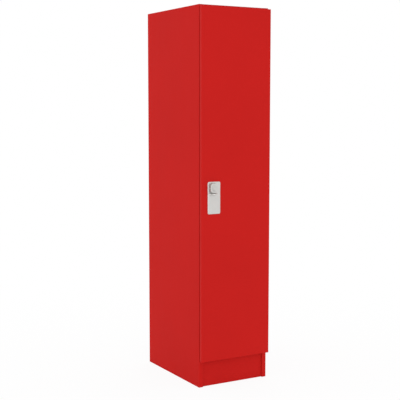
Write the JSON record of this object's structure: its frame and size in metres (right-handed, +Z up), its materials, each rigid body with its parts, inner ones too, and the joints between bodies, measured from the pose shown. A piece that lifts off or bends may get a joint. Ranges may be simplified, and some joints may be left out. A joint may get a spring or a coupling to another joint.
{
  "type": "single locker",
  "caption": "Tall board locker with one lay-on door on knuckle hinges, a recessed plinth, a hat shelf, a coat rail and a turn latch with a padlock eye.",
  "frame": {"origin": "middle of the whole part's footprint, on the floor", "axes": "+Z up, -Y out of the door (the front), +X towards the hinge side, on the right as seen from the front"},
  "size_m": [0.3894, 0.577, 1.8],
  "materials": {
    "red_laminate": "high-pressure laminate on board, fine pearl texture, low sheen",
    "red_edging": "ABS edging strip, satin",
    "satin_silver": "satin silver zinc die casting",
    "satin_steel": "satin nickel-plated steel",
    "zinc_plated_steel": "bright zinc plate",
    "chromed_tube": "polished chrome on steel tube",
    "zinc_casting": "raw zinc casting, dull grey",
    "beech": "plain fluted beech",
    "grey_rubber": "soft matt rubber"
  },
  "bodies": {
    "carcass": {"left_side_panel": "red_laminate", "right_side_panel": "red_laminate", "top_panel": "red_laminate", "bottom_panel": "red_laminate", "back_panel": "red_laminate", "front_plinth": "red_laminate", "rear_plinth": "red_laminate", "left_side_edging": "red_edging", "right_side_edging": "red_edging", "top_edging": "red_edging", "bottom_edging": "red_edging", "hat_shelf": "red_laminate", "shelf_edging": "red_edging", "shelf_pins": "zinc_plated_steel", "joint_dowels": "beech", "cam_bolts": "zinc_plated_steel", "cam_housings": "zinc_casting", "coat_rail": "chromed_tube", "left_rail_socket": "satin_silver", "right_rail_socket": "satin_silver", "rail_screws": "zinc_plated_steel", "upper_frame_leaf": "satin_steel", "middle_frame_leaf": "satin_steel", "lower_frame_leaf": "satin_steel", "upper_hinge_pin": "satin_steel", "middle_hinge_pin": "satin_steel", "lower_hinge_pin": "satin_steel", "frame_hinge_screws": "zinc_plated_steel", "latch_keeper": "zinc_plated_steel", "keeper_screws": "zinc_plated_steel", "door_buffers": "grey_rubber"},
    "door": {"door_panel": "red_laminate", "door_edging": "red_edging", "upper_door_leaf": "satin_steel", "middle_door_leaf": "satin_steel", "lower_door_leaf": "satin_steel", "door_hinge_screws": "zinc_plated_steel", "lock_plate": "satin_silver", "padlock_eye": "satin_silver", "spindle_bush": "satin_steel", "lock_back_plate": "zinc_plated_steel", "bush_nut": "zinc_plated_steel", "lock_screws": "zinc_plated_steel"},
    "latch": {"latch_knob": "satin_silver", "latch_spindle": "satin_steel", "latch_cam": "zinc_plated_steel", "cam_washer": "zinc_plated_steel", "cam_nut": "zinc_plated_steel"}
  },
  "joints": [
    {"name": "door_swing", "type": "hinge", "parent": "carcass", "child": "door", "pos_m": [0.19025, -0.2395, 0.96025], "axis": [0, 0, 1], "range_deg": [0, 180]},
    {"name": "latch_turn", "type": "hinge", "parent": "door", "child": "latch", "pos_m": [-0.13775, -0.2605, 0.956], "axis": [0, -1, 0], "range_deg": [0, 90]}
  ]
}
